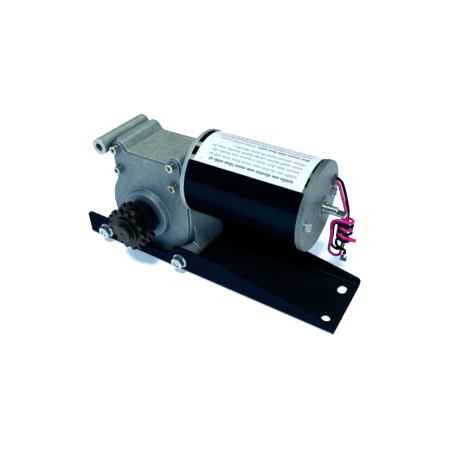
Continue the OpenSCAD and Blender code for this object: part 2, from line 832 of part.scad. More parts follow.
module brush_springs() {
    coil_turns = 5;
    per_turn = 10;
    bottom = commutator_r + 10.5;
    color("#9a9c9e") for_each_brush() swept_tube([
        for (i = [0:coil_turns * per_turn])
            [154 + 2.6 * cos(360 * i / per_turn), 2.6 * sin(360 * i / per_turn),
             bottom + 6.6 * i / (coil_turns * per_turn)]
    ], 0.45);
}

// ---------------------------------------------------------------- leads

module lead_grommet() {
    color("#101010") difference() {
        union() {
            along_x(grommet_r - 1, cap_x0, cap_x1, grommet_y, grommet_z);
            along_x(grommet_r, cap_x1, cap_x1 + 0.8, grommet_y, grommet_z);
            along_x(grommet_r, cap_x1 + 0.8, cap_x1 + 1.6, grommet_y, grommet_z, grommet_r - 1);
        }
        for (hole = [red_hole, black_hole])
            along_x(lead_d / 2 + 0.3, cap_x0 - 1, cap_x1 + 4, hole.x, hole.y);
    }
}

module lead_red() { color("#a11432") swept_tube(red_route, lead_d / 2); }
module lead_black() { color("#141414") swept_tube(black_route, lead_d / 2); }

// Moulded sleeve over the red lead's crimped end
module lead_sleeve() {
    end = red_route[len(red_route) - 1];
    color("#a11432") translate(end) rotate([0, 84, 0]) difference() {
        cylinder(h = 5.6, r1 = 2.2, r2 = 1.9, $fn = 32);
        translate([0, 0, 3]) cylinder(h = 4, r = 1.1, $fn = 32);
    }
}

// Crimped barrel and flat receptacle on the black lead's end
module lead_terminal() {
    end = black_route[len(black_route) - 1];
    color("#b9bcbd") translate([end.x, end.y, end.z - 9]) {
        translate([0, 0, 5]) cylinder(h = 4, r = 2.1, $fn = 32);
        difference() {
            translate([-3.3, -1.2, 0]) cube([6.6, 2.4, 5.4]);
            translate([-2.8, -0.5, -1]) cube([5.6, 1, 5]);
        }
    }
}

bracket_floor();
bracket_front_flange();
bracket_rear_flange();
bracket_bolts();
bracket_nuts();
gear_housing();
cover_gasket();
front_cover();
cover_screws();
cover_lock_washers();
shaft_seal();
output_bush_front();
output_bush_rear();
output_shaft();
wheel_key();
worm_wheel();
sprocket();
sprocket_key();
sprocket_screw();
retaining_ring();
worm();
armature_shaft();
worm_end_bush();
front_bearing();
rear_bearing();
armature_core();
armature_windings();
commutator();
motor_can();
field_magnets();
nameplate_label();
brush_plate();
brush_holders();
brushes();
brush_springs();
end_cap();
end_cap_screws();
lead_grommet();
lead_red();
lead_black();
lead_sleeve();
lead_terminal();
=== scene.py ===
"""A bracket-mounted gear motor: leads, label print, finishes and studio round the solids."""
import math
import random

import bmesh
import bpy
from mathutils import Matrix, Vector


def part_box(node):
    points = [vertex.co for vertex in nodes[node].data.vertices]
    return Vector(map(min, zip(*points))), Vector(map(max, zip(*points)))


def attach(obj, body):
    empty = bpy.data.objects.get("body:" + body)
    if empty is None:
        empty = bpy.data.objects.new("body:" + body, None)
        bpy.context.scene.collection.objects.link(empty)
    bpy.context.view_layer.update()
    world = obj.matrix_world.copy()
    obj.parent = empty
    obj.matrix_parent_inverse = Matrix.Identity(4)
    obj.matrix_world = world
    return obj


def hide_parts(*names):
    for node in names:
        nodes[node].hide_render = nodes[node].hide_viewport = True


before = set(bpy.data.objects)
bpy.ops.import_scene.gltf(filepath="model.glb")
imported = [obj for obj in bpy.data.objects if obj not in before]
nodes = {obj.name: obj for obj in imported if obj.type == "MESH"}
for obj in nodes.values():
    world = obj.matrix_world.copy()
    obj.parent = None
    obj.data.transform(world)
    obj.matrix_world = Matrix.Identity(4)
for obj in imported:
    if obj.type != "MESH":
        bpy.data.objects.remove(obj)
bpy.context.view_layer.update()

MM = 0.001
MOTOR_Z = 103
OUTPUT_Z = 53
AXIS_MOTOR = (0, 0, MOTOR_Z)
AXIS_OUTPUT = (0, 0, OUTPUT_Z)


def add_object(name, data):
    """A new object in the scene's own collection."""
    made = bpy.data.objects.new(name, data)
    bpy.context.scene.collection.objects.link(made)
    return made


def add_mesh_piece(name, bm):
    """Turns the working mesh into an object and lets the working mesh go."""
    bmesh.ops.recalc_face_normals(bm, faces=bm.faces)
    mesh = bpy.data.meshes.new(name)
    bm.to_mesh(mesh)
    bm.free()
    return add_object(name, mesh)

# ---------------------------------------------------------------- camera

AZIMUTH, ELEVATION, ROLL = (math.radians(a) for a in (32.383, 37.746, -1.168))
AIM = Vector((74.3, 0, 43.5)) * MM
DISTANCE = 0.4828
LENS = 36.84

away = Vector((
    math.sin(AZIMUTH) * math.cos(ELEVATION),
    -math.cos(AZIMUTH) * math.cos(ELEVATION),
    math.sin(ELEVATION),
))
right = Vector((math.cos(AZIMUTH), math.sin(AZIMUTH), 0))
up = away.cross(right)
right, up = (
    right * math.cos(ROLL) + up * math.sin(ROLL),
    up * math.cos(ROLL) - right * math.sin(ROLL),
)
lens = bpy.data.cameras.new("camera")
lens.lens = LENS
lens.sensor_width = 36
lens.clip_start = 0.01
lens.clip_end = 20
camera = add_object("camera", lens)
place = Matrix((right, up, away)).transposed().to_4x4()
place.translation = AIM + away * DISTANCE
camera.matrix_world = place
bpy.context.scene.camera = camera

# ---------------------------------------------------------------- leads

LEAD_D = 3.0
WRAP_CENTRE = (191, 30.5)
WRAP_R = 6.4
WRAP_PITCH = 9
WRAP_STEP = 30
SWEEP_SIDES = 16
SWEEP_START = Vector((0.3, 0.5, 0.8))


def wrap(z, turns):
    """Points round both falling leads, winding down from the front towards +X."""
    return [
        (
            WRAP_CENTRE[0] + WRAP_R * math.sin(math.radians(a)),
            WRAP_CENTRE[1] - WRAP_R * math.cos(math.radians(a)),
            z - WRAP_PITCH * a / 360,
        )
        for a in range(0, 360 * turns + 1, WRAP_STEP)
    ]


RED_ROUTE = [
    (170, 28.5, 113.4), (176, 28.5, 113.4), (178, 28.6, 112.6), (179.6, 28.8, 110.2),
    (181, 29, 106.5), (184.3, 29, 98), (187.8, 29, 89), (190.2, 29, 81), (191, 29, 74),
    (191, 29, 62), (191, 29, 50), (191, 29, 36), (189.2, 29, 31.8), (185, 29, 30),
    (180.8, 29, 31.8), (179, 29, 36), (179, 29, 46), (179, 28.5, 56), (178.6, 26, 66),
    (180.2, 23.6, 73.5), (185, 22.9, 77.4), *wrap(77, 2), (195, 24.2, 58.4),
    (199, 24.2, 58.82),
]
BLACK_ROUTE = [
    (170, 29.5, 117), (176, 29.5, 117), (178.4, 29.8, 116), (180.8, 30.3, 113.6),
    (182.8, 31, 109), (185.5, 31.8, 101), (188.6, 32.2, 91.5), (190.8, 32.2, 83),
    (191.5, 32.2, 75), (191.5, 32.2, 62), (191.5, 32.2, 50), (191.5, 32.2, 42),
    (189.7, 32.2, 37.8), (185.5, 32.2, 36), (181.3, 32.2, 37.8), (179.5, 32.2, 42),
    (179.5, 32.2, 52), (179.3, 31.5, 61), (180.8, 28.4, 68.5), (183.2, 24.9, 72.2),
    (187, 23.6, 73.2), *wrap(72.5, 3), (193.6, 24.4, 44.8), (195.4, 25, 43.6),
    (196, 25.2, 42), (196, 25.2, 39.5),
]


def smooth(route, steps=5):
    """The route as one smooth line through all its points, in metres."""
    points = [Vector(p) * MM for p in route]
    ends = [2 * points[0] - points[1], *points, 2 * points[-1] - points[-2]]
    line = []
    for a, b, c, d in zip(ends, ends[1:], ends[2:], ends[3:]):
        for i in range(steps):
            u = i / steps
            line.append(0.5 * (
                2 * b + (c - a) * u + (2 * a - 5 * b + 4 * c - d) * u ** 2
                + (3 * b - a - 3 * c + d) * u ** 3
            ))
    return [*line, points[-1]]


def sweep(name, line, radius):
    """A round tube along the line, closed at both ends."""
    bm = bmesh.new()
    sides = SWEEP_SIDES
    normal = SWEEP_START
    rings = []
    for i, centre in enumerate(line):
        along = (line[min(i + 1, len(line) - 1)] - line[max(i - 1, 0)]).normalized()
        normal = (normal - normal.dot(along) * along).normalized()
        across = along.cross(normal)
        rings.append([
            bm.verts.new(centre + radius * (
                normal * math.cos(math.tau * k / sides) + across * math.sin(math.tau * k / sides)
            ))
            for k in range(sides)
        ])
    for ring, after in zip(rings, rings[1:]):
        for k in range(sides):
            nxt = (k + 1) % sides
            bm.faces.new((ring[k], ring[nxt], after[nxt], after[k])).smooth = True
    bm.faces.new(rings[0][::-1])
    bm.faces.new(rings[-1])
    return add_mesh_piece(name, bm)


def make_lead(name, route, node):
    """One insulated wire along the route, standing for its CAD tube."""
    line = smooth(route)
    lead = sweep(name, line, LEAD_D / 2 * MM)
    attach(lead, "casing")
    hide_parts(node)
    return lead


red_wire = make_lead("red_wire", RED_ROUTE, "lead_red")
black_wire = make_lead("black_wire", BLACK_ROUTE, "lead_black")

# ---------------------------------------------------------------- material kit


MIX_A, MIX_B, MIX_RESULT = 6, 7, 2      # the colour sockets of a mix node


def shade(colour, k):
    return tuple(min(1.0, c * k) for c in colour)


def rgba(value):
    return (value,) * 3 + (1.0,) if isinstance(value, (int, float)) else (*value[:3], 1.0)


class Paint:
    """A node material that reads the row frame's coordinates in millimetres."""

    def __init__(self, name):
        self.material = bpy.data.materials.new(name)
        self.material.use_nodes = True
        self.tree = self.material.node_tree
        self.tree.nodes.clear()
        out = self.add("ShaderNodeOutputMaterial")
        self.shader = self.add("ShaderNodeBsdfPrincipled")
        self.join(self.shader.outputs["BSDF"], out.inputs["Surface"])
        coords = self.add("ShaderNodeTexCoord")
        to_mm = self.add("ShaderNodeVectorMath", operation="SCALE")
        to_mm.inputs["Scale"].default_value = 1 / MM
        self.join(coords.outputs["Object"], to_mm.inputs[0])
        self.mm = to_mm.outputs[0]
        self.relief = None

    def add(self, kind, **settings):
        node = self.tree.nodes.new(kind)
        for key, value in settings.items():
            setattr(node, key, value)
        return node

    def join(self, a, b):
        self.tree.links.new(a, b)

    def put(self, socket, value):
        if isinstance(value, bpy.types.NodeSocket):
            self.join(value, socket)
        elif socket.type == "RGBA":
            socket.default_value = rgba(value)
        else:
            socket.default_value = value

    def place(self, stretch=(1, 1, 1), centre=(0, 0, 0)):
        """Coordinates about a centre in millimetres, stretched along the axes."""
        if stretch == (1, 1, 1) and centre == (0, 0, 0):
            return self.mm
        shift = self.add("ShaderNodeVectorMath", operation="SUBTRACT")
        self.join(self.mm, shift.inputs[0])
        shift.inputs[1].default_value = centre
        scale = self.add("ShaderNodeVectorMath", operation="MULTIPLY")
        self.join(shift.outputs[0], scale.inputs[0])
        scale.inputs[1].default_value = stretch
        return scale.outputs[0]

    def noise(self, per_mm, detail=4, rough=0.55, stretch=(1, 1, 1), warp=0.0, seed=0.0):
        node = self.add("ShaderNodeTexNoise")
        self.join(self.place(stretch, (seed, seed * 0.7, -seed)), node.inputs["Vector"])
        node.inputs["Scale"].default_value = per_mm
        node.inputs["Detail"].default_value = detail
        node.inputs["Roughness"].default_value = rough
        node.inputs["Distortion"].default_value = warp
        return node.outputs[0]

    def cells(self, per_mm):
        node = self.add("ShaderNodeTexVoronoi")
        self.join(self.mm, node.inputs["Vector"])
        node.inputs["Scale"].default_value = per_mm
        return node.outputs["Distance"]

    def rings(self, per_mm, axis, centre, warp=0.4):
        """Fine turning marks round an axis through the centre."""
        node = self.add("ShaderNodeTexWave", wave_type="RINGS", rings_direction=axis)
        self.join(self.place((1, 1, 1), centre), node.inputs["Vector"])
        node.inputs["Scale"].default_value = per_mm
        node.inputs["Distortion"].default_value = warp
        node.inputs["Detail"].default_value = 2
        return node.outputs["Fac"]

    def bands(self, per_mm, axis, warp):
        """Fine marks square to an axis."""
        node = self.add("ShaderNodeTexWave", wave_type="BANDS", bands_direction=axis)
        self.join(self.mm, node.inputs["Vector"])
        node.inputs["Scale"].default_value = per_mm
        node.inputs["Distortion"].default_value = warp
        node.inputs["Detail"].default_value = 2
        return node.outputs["Fac"]

    def ramp(self, fac, *stops):
        node = self.add("ShaderNodeValToRGB")
        self.join(fac, node.inputs["Fac"])
        points = node.color_ramp.elements
        while len(points) < len(stops):
            points.new(0.5)
        for point, (at, colour) in zip(points, stops):
            point.position = at
            point.color = rgba(colour)
        return node.outputs["Color"]

    def level(self, fac, low, high, a=0.0, b=1.0):
        """Maps low..high of a value to a..b, and holds it there outside."""
        node = self.add("ShaderNodeMapRange")
        self.put(node.inputs["Value"], fac)
        for key, value in (("From Min", low), ("From Max", high), ("To Min", a), ("To Max", b)):
            node.inputs[key].default_value = value
        return node.outputs["Result"]

    def mix(self, fac, a, b):
        """Colour a where fac is 0, colour b where it is 1."""
        node = self.add("ShaderNodeMix", data_type="RGBA", blend_type="MIX")
        self.put(node.inputs["Factor"], fac)
        self.put(node.inputs[MIX_A], a)
        self.put(node.inputs[MIX_B], b)
        return node.outputs[MIX_RESULT]

    def times(self, a, b):
        node = self.add("ShaderNodeMath", operation="MULTIPLY")
        self.put(node.inputs[0], a)
        self.put(node.inputs[1], b)
        return node.outputs[0]

    def crevice(self, reach):
        """1 deep in corners and gaps, 0 on open faces."""
        node = self.add("ShaderNodeAmbientOcclusion", samples=8)
        node.inputs["Distance"].default_value = reach * MM
        return self.level(node.outputs["AO"], 0.35, 0.95, 1.0, 0.0)

    def soften(self, radius):
        """Rounds the sharp edges that light catches, and gives the mask of those edges."""
        bevel = self.add("ShaderNodeBevel", samples=6)
        bevel.inputs["Radius"].default_value = radius * MM
        self.relief = bevel.outputs["Normal"]
        geometry = self.add("ShaderNodeNewGeometry")
        dot = self.add("ShaderNodeVectorMath", operation="DOT_PRODUCT")
        self.join(bevel.outputs["Normal"], dot.inputs[0])
        self.join(geometry.outputs["Normal"], dot.inputs[1])
        return self.level(dot.outputs["Value"], 0.75, 0.99, 1.0, 0.0)

    def bump(self, height, depth, strength=1.0):
        node = self.add("ShaderNodeBump")
        self.join(height, node.inputs["Height"])
        node.inputs["Distance"].default_value = depth * MM
        node.inputs["Strength"].default_value = strength
        if self.relief is not None:
            self.join(self.relief, node.inputs["Normal"])
        self.relief = node.outputs["Normal"]

    def finish(self, colour, rough, metal=0.0, specular=0.5, coat=0.0, tint=None, ior=1.45):
        put, inputs = self.put, self.shader.inputs
        put(inputs["Base Color"], colour)
        put(inputs["Roughness"], rough)
        put(inputs["Metallic"], metal)
        put(inputs["Specular IOR Level"], specular)
        put(inputs["Coat Weight"], coat)
        put(inputs["IOR"], ior)
        if tint is not None:
            put(inputs["Specular Tint"], tint)
        if self.relief is not None:
            self.join(self.relief, inputs["Normal"])
            if coat:
                self.join(self.relief, inputs["Coat Normal"])
        return self.material


# ---------------------------------------------------------------- materials


# painted shade: the blue that cast_metal lays under overhangs (within 60 mm) and in corners
# (within 7 mm)
PAINTED_SHADE_REACH, PAINTED_SHADE_BLUE = 60, (0.022, 0.095, 0.165)
PAINTED_CORNER_SHADE_REACH, PAINTED_CORNER_SHADE_BLUE = 7, (0.008, 0.045, 0.085)


def cast_metal(name, base, sand=1.0, brushed=None, seed=0.0):
    """Sand-textured light alloy: mottled skin and pits, with a painted highlight along the edges
    and painted blue shade under overhangs and in corners.
    """
    p = Paint(name)
    edge = p.soften(0.9)
    mottle = p.noise(0.07, detail=6, rough=0.62, warp=0.6, seed=seed)
    patch = p.noise(0.28, detail=5, rough=0.6, seed=seed + 9)
    grain = p.noise(1.3, detail=5, rough=0.75, seed=seed + 3)
    skin = p.ramp(mottle, (0.32, shade(base, 0.70)), (0.52, base), (0.72, shade(base, 1.25)))
    skin = p.mix(p.level(patch, 0.42, 0.62, 0.0, 0.75), skin, shade(base, 0.62))
    skin = p.mix(p.level(grain, 0.45, 0.70, 0.0, 0.7), skin, shade(base, 1.65))
    specks = p.level(p.cells(0.55), 0.0, 0.12, 0.5, 0.0)
    skin = p.mix(specks, skin, shade(base, 0.45))
    if brushed:
        lines = p.noise(1.0, detail=4, rough=0.7, stretch=brushed, warp=0.15)
        skin = p.mix(p.level(lines, 0.35, 0.7, 0.0, 0.55), skin, shade(base, 0.68))
        p.bump(lines, 0.06, 0.5)
    # painted shade: blue darkening wherever the casting is sheltered, and deeper blue in its
    # corners
    skin = p.mix(p.times(p.crevice(PAINTED_SHADE_REACH), 0.8), skin, PAINTED_SHADE_BLUE)
    skin = p.mix(p.times(p.crevice(PAINTED_CORNER_SHADE_REACH), 0.95), skin, PAINTED_CORNER_SHADE_BLUE)
    # painted highlight: the rounded edges are drawn far lighter than the skin
    skin = p.mix(edge, skin, shade(base, 3.2))
    p.bump(grain, 0.16 * sand, 0.7)
    p.bump(patch, 0.35 * sand, 0.45)
    rough = p.level(grain, 0.25, 0.8, 0.36, 0.62)
    return p.finish(skin, rough, metal=0.65)


def gloss_paint(name, base):
    """Deep gloss enamel with faint orange peel, dust and hairline scratches."""
    p = Paint(name)
    p.soften(0.4)
    peel = p.noise(0.45, detail=3, rough=0.4)
    dust = p.level(p.noise(2.2, detail=3, rough=0.8), 0.68, 0.8, 0.0, 0.35)
    haze = p.noise(0.05, detail=5, rough=0.6, stretch=(0.5, 1, 1))
    hair = p.level(p.noise(1.2, detail=2, rough=0.5, stretch=(0.05, 1, 1), warp=0.3), 0.70, 0.74)
    colour = p.mix(p.level(haze, 0.3, 0.75, 0.0, 1.0), base, shade(base, 2.2))
    colour = p.mix(dust, colour, (0.004, 0.010, 0.015))
    p.bump(peel, 0.05, 0.25)
    p.bump(hair, 0.02, 0.3)
    rough = p.level(haze, 0.3, 0.75, 0.14, 0.26)
    return p.finish(colour, rough, metal=0.95, ior=1.16, tint=(0.07, 0.22, 0.31))


def satin_paint(name, base, metal_under):
    """Satin black over folded sheet: fine peel, dull rubs and bare metal on the cut edges."""
    p = Paint(name)
    edge = p.soften(0.45)
    peel = p.noise(0.9, detail=4, rough=0.6)
    rub = p.noise(0.045, detail=6, rough=0.65, stretch=(0.6, 1, 1))
    chips = p.level(p.noise(0.5, detail=5, rough=0.75), 0.56, 0.66)
    scratch = p.level(p.noise(1.0, detail=2, stretch=(0.06, 1.2, 1.2), warp=0.5), 0.69, 0.73)
    dust = p.level(p.noise(1.8, detail=4, rough=0.8), 0.62, 0.8, 0.0, 0.4)
    colour = p.mix(p.level(rub, 0.35, 0.7), base, shade(base, 1.9))
    colour = p.mix(dust, colour, (0.004, 0.009, 0.013))
    colour = p.mix(p.times(scratch, 0.25), colour, (0.012, 0.022, 0.028))
    worn = p.times(p.times(edge, chips), 0.6)
    colour = p.mix(worn, colour, metal_under)
    p.bump(peel, 0.05, 0.5)
    rough = p.level(rub, 0.3, 0.75, 0.42, 0.60)
    return p.finish(colour, rough, metal=0.95, ior=1.2, tint=(0.08, 0.32, 0.5))


def oxide_steel(name, base):
    """Oiled black oxide with machining marks and polished tooth edges."""
    p = Paint(name)
    edge = p.soften(0.5)
    marks = p.rings(1.6, "Y", AXIS_OUTPUT, warp=1.2)
    oil = p.noise(0.16, detail=5, rough=0.6, warp=0.5)
    grain = p.noise(1.7, detail=4, rough=0.7)
    colour = p.ramp(oil, (0.3, shade(base, 0.6)), (0.6, base), (0.8, shade(base, 1.6)))
    colour = p.mix(p.level(marks, 0.2, 0.9, 0.0, 0.25), colour, shade(base, 1.7))
    colour = p.mix(p.times(edge, 0.5), colour, shade(base, 4.0))
    p.bump(marks, 0.02, 0.4)
    p.bump(grain, 0.05, 0.5)
    rough = p.level(oil, 0.3, 0.8, 0.22, 0.42)
    return p.finish(colour, rough, metal=0.9, ior=1.2)


def plated_steel(name, base, stain, rough=(0.2, 0.42), patchy=0.6):
    """Zinc plating: cloudy colour, soft sparkle, dull patches and painted shade darkening its
    crevices.
    """
    p = Paint(name)
    edge = p.soften(0.3)
    cloud = p.noise(0.42, detail=5, rough=0.6, warp=0.8)
    grain = p.noise(3.0, detail=4, rough=0.7)
    colour = p.mix(p.level(cloud, 0.38, 0.68, 0.0, patchy), base, stain)
    # painted shade: darker within 1.6 mm of corners and crevices
    colour = p.mix(p.times(p.crevice(1.6), 0.75), colour, (0.05, 0.05, 0.045))
    colour = p.mix(p.times(edge, 0.5), colour, shade(base, 1.3))
    p.bump(grain, 0.03, 0.5)
    return p.finish(colour, p.level(cloud, 0.3, 0.75, *rough), metal=0.95)


def turned_steel(name, base, axis, centre, rough=(0.16, 0.3), pitch=2.4, ringed=False):
    """Ground or turned metal with fine marks square to its axis."""
    p = Paint(name)
    edge = p.soften(0.3)
    marks = p.rings(pitch, axis, centre) if ringed else p.bands(pitch, axis, 0.9)
    film = p.noise(0.22, detail=5, rough=0.6)
    colour = p.mix(p.level(marks, 0.1, 0.9, 0.0, 0.35), base, shade(base, 0.7))
    colour = p.mix(p.level(film, 0.45, 0.75, 0.0, 0.4), colour, shade(base, 0.55))
    colour = p.mix(p.times(edge, 0.4), colour, shade(base, 1.4))
    p.bump(marks, 0.015, 0.5)
    return p.finish(colour, p.level(film, 0.3, 0.8, *rough), metal=1.0)


def stacked_steel(name, base):
    """Thin laminations seen on edge."""
    p = Paint(name)
    layers = p.bands(3.0, "X", 0.2)
    rust = p.noise(0.3, detail=5, rough=0.65)
    colour = p.mix(p.level(layers, 0.3, 0.7, 0.0, 0.7), base, shade(base, 0.45))
    colour = p.mix(p.level(rust, 0.5, 0.75, 0.0, 0.5), colour, (0.16, 0.11, 0.07))
    p.bump(layers, 0.08, 0.7)
    return p.finish(colour, p.level(rust, 0.3, 0.7, 0.35, 0.55), metal=0.9)


def wound_copper(name, base):
    """Rows of enamelled wire wrapped over the winding ends."""
    p = Paint(name)
    strands = p.rings(0.55, "X", AXIS_MOTOR, warp=3.0)
    tone = p.noise(0.3, detail=4)
    colour = p.mix(p.level(strands, 0.0, 0.6, 0.8, 0.0), base, shade(base, 0.25))
    colour = p.mix(p.level(tone, 0.4, 0.7, 0.0, 0.4), colour, shade(base, 0.6))
    p.bump(strands, 0.35, 0.9)
    return p.finish(colour, p.level(tone, 0.3, 0.7, 0.22, 0.4), metal=0.8, coat=0.3)


def moulding(name, base, rough=(0.4, 0.6), grain=1.2, depth=0.08, specular=0.45, fleck=1.5):
    """Moulded or pressed non-metal: fine grain, slight colour drift and painted shade darkening
    its corners.
    """
    p = Paint(name)
    edge = p.soften(0.3)
    drift = p.noise(0.12, detail=5, rough=0.6)
    fine = p.noise(grain, detail=5, rough=0.7)
    colour = p.mix(p.level(drift, 0.35, 0.7), shade(base, 0.85), shade(base, 1.2))
    colour = p.mix(p.level(fine, 0.45, 0.75, 0.0, 0.4), colour, shade(base, fleck))
    # painted shade: darker within 2.5 mm of corners and gaps
    colour = p.mix(p.times(p.crevice(2.5), 0.3), colour, shade(base, 0.4))
    colour = p.mix(p.times(edge, 0.25), colour, shade(base, 1.7))
    p.bump(fine, depth, 0.6)
    return p.finish(colour, p.level(fine, 0.3, 0.75, *rough), specular=specular)


def wire_jacket(name, base, dark, **gloss):
    """Extruded PVC: slight drawing lines, glossy, dusted."""
    p = Paint(name)
    drift = p.noise(0.15, detail=4)
    fine = p.noise(2.0, detail=4, rough=0.7, stretch=(1, 1, 0.25))
    colour = p.mix(p.level(drift, 0.35, 0.7, 0.0, 0.6), base, dark)
    colour = p.mix(p.level(fine, 0.55, 0.8, 0.0, 0.25), colour, shade(base, 1.5))
    p.bump(fine, 0.03, 0.5)
    return p.finish(colour, p.level(fine, 0.3, 0.8, 0.2, 0.38), **gloss)


def label_film(name, base):
    """Coated label paper: faint fibres, slight tone drift and a very light sheen."""
    p = Paint(name)
    fibre = p.noise(1.4, detail=5, rough=0.7, stretch=(0.35, 1, 1))
    tone = p.noise(0.05, detail=4)
    colour = p.mix(p.level(tone, 0.35, 0.7), base, shade(base, 0.955))
    colour = p.mix(p.level(fibre, 0.5, 0.8, 0.0, 0.3), colour, shade(base, 0.88))
    p.bump(fibre, 0.02, 0.5)
    return p.finish(colour, p.level(fibre, 0.3, 0.8, 0.34, 0.5), specular=0.4)


def label_ink(name, base):
    p = Paint(name)
    patchy = p.noise(2.5, detail=4, rough=0.7)
    colour = p.mix(p.level(patchy, 0.4, 0.75), base, shade(base, 1.8))
    return p.finish(colour, p.level(patchy, 0.3, 0.7, 0.4, 0.6), specular=0.3)


ALLOY = (0.33, 0.39, 0.335)

finishes = {
    "housing": cast_metal("alloy_housing", ALLOY),
    # painted shade: the cover and the end cap are separate castings, drawn darker and bluer than
    # the housing alloy to stand in for the shade on their faces
    "cover": cast_metal("alloy_cover_painted_shade", (0.136, 0.184, 0.188), 0.8, seed=31),
    "cap": cast_metal("alloy_end_cap_painted_shade", (0.100, 0.138, 0.130), 0.5, (0.35, 2.2, 0.07), 57),
    "can": gloss_paint("gloss_black_can", (0.0007, 0.0028, 0.0055)),
    "bracket": satin_paint("satin_black_bracket", (0.0009, 0.0046, 0.0085), (0.14, 0.17, 0.18)),
    "oxide": oxide_steel("black_oxide", (0.0018, 0.0060, 0.0080)),
    "zinc": plated_steel("bright_zinc", (0.56, 0.66, 0.62), (0.12, 0.16, 0.15), (0.14, 0.34), 0.8),
    "olive_zinc": plated_steel("olive_zinc", (0.52, 0.53, 0.42), (0.10, 0.10, 0.07),
                               (0.16, 0.36), 0.8),
    "yellow_zinc": plated_steel("yellow_zinc", (0.66, 0.63, 0.46), (0.42, 0.46, 0.34)),
    "dark_olive": plated_steel("dark_olive_zinc", (0.13, 0.15, 0.07), (0.05, 0.06, 0.03)),
    "spring": plated_steel("spring_steel", (0.34, 0.34, 0.31), (0.16, 0.15, 0.13), (0.28, 0.45)),
    "terminal": plated_steel("tinned_terminal", (0.72, 0.73, 0.74), (0.45, 0.46, 0.46)),
    "output": turned_steel("dark_output_shaft", (0.012, 0.022, 0.026), "Y", AXIS_OUTPUT,
                           (0.3, 0.45)),
    "rotor": turned_steel("ground_rotor_shaft", (0.34, 0.39, 0.35), "X", AXIS_MOTOR),
    "bearing": turned_steel("bearing_rings", (0.66, 0.66, 0.66), "X", AXIS_MOTOR, ringed=True),
    "bronze": turned_steel("turned_bronze", (0.62, 0.44, 0.22), "Y", AXIS_OUTPUT, (0.25, 0.4)),
    "worm_bronze": turned_steel("worm_end_bronze", (0.60, 0.43, 0.22), "X", AXIS_MOTOR),
    "brass": plated_steel("stamped_brass", (0.70, 0.56, 0.28), (0.5, 0.36, 0.16)),
    "bars": turned_steel("commutator_copper", (0.62, 0.33, 0.18), "X", AXIS_MOTOR),
    "worm": turned_steel("hobbed_worm", (0.40, 0.41, 0.42), "X", AXIS_MOTOR, (0.25, 0.42), 1.3),
    "core": stacked_steel("core_laminations", (0.30, 0.31, 0.32)),
    "copper": wound_copper("wound_copper", (0.58, 0.27, 0.12)),
    "ferrite": moulding("ferrite", (0.07, 0.066, 0.066), (0.45, 0.7), 1.0, 0.1),
    "phenolic": moulding("phenolic_board", (0.26, 0.13, 0.055), (0.35, 0.55), 0.9, 0.05),
    "carbon": moulding("carbon_brush", (0.045, 0.045, 0.05), (0.3, 0.5), 2.2, 0.05),
    "rubber": moulding("black_rubber", (0.016, 0.016, 0.017), (0.45, 0.65), 1.6, 0.06),
    "gasket": moulding("gasket_board", (0.30, 0.33, 0.31), (0.7, 0.9), 1.8, 0.1),
    "red": wire_jacket("red_pvc", (0.52, 0.002, 0.13), (0.33, 0.003, 0.20), ior=1.3),
    "black": wire_jacket("black_pvc", (0.0022, 0.0020, 0.0026), (0.004, 0.003, 0.005),
                         metal=0.95, ior=1.16, tint=(0.10, 0.08, 0.11)),
    "label": label_film("label_film", (0.66, 0.70, 0.72)),
    "ink": label_ink("label_ink", (0.20, 0.215, 0.235)),
    "bold_ink": label_ink("label_bold_ink", (0.085, 0.09, 0.105)),
}

NODE_FINISH = {
    "bracket_floor": "bracket",
    "bracket_front_flange": "bracket",
    "bracket_rear_flange": "bracket",
    "bracket_bolts": "zinc",
    "bracket_nuts": "yellow_zinc",
    "gear_housing": "housing",
    "cover_gasket": "gasket",
    "front_cover": "cover",
    "cover_screws": "olive_zinc",
    "cover_lock_washers": "spring",
    "shaft_seal": "rubber",
    "output_bush_front": "bronze",
    "output_bush_rear": "bronze",
    "output_shaft": "output",
    "wheel_key": "output",
    "worm_wheel": "bronze",
    "sprocket": "oxide",
    "sprocket_key": "oxide",
    "sprocket_screw": "dark_olive",
    "retaining_ring": "oxide",
    "worm": "worm",
    "armature_shaft": "rotor",
    "worm_end_bush": "worm_bronze",
    "front_bearing": "bearing",
    "rear_bearing": "bearing",
    "armature_core": "core",
    "armature_windings": "copper",
    "commutator": "bars",
    "motor_can": "can",
    "field_magnets": "ferrite",
    "nameplate_label": "label",
    "brush_plate": "phenolic",
    "brush_holders": "brass",
    "brushes": "carbon",
    "brush_springs": "spring",
    "end_cap": "cap",
    "end_cap_screws": "zinc",
    "lead_grommet": "rubber",
    "lead_sleeve": "red",
    "lead_terminal": "terminal",
}
for node, key in NODE_FINISH.items():
    mesh = nodes[node].data
    mesh.materials.clear()
    mesh.materials.append(finishes[key])
red_wire.data.materials.append(finishes["red"])
black_wire.data.materials.append(finishes["black"])

# ---------------------------------------------------------------- printed label

label_low, label_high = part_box("nameplate_label")
LABEL_R = (label_high.z / MM) - MOTOR_Z
INK_RISE = 0.03
INK_SINK = 0.08
TEXT_RIGHT = label_high.x / MM - 7
TEXT_LEFT = label_low.x / MM + 7
MIDDLE = TEXT_LEFT + 42
SHORT_LETTER, TALL_LETTER = 0.7, 1.0    # of the row's height
LETTER_WIDTH = 0.45
LETTER_GAP = 0.07
WORD_GAP = 0.34
PRINT_SEED = 17
BLOCK_FACES = (
    (0, 1, 3, 2), (4, 6, 7, 5), (0, 4, 5, 1), (2, 3, 7, 6), (0, 2, 6, 4), (1, 5, 7, 3),
)


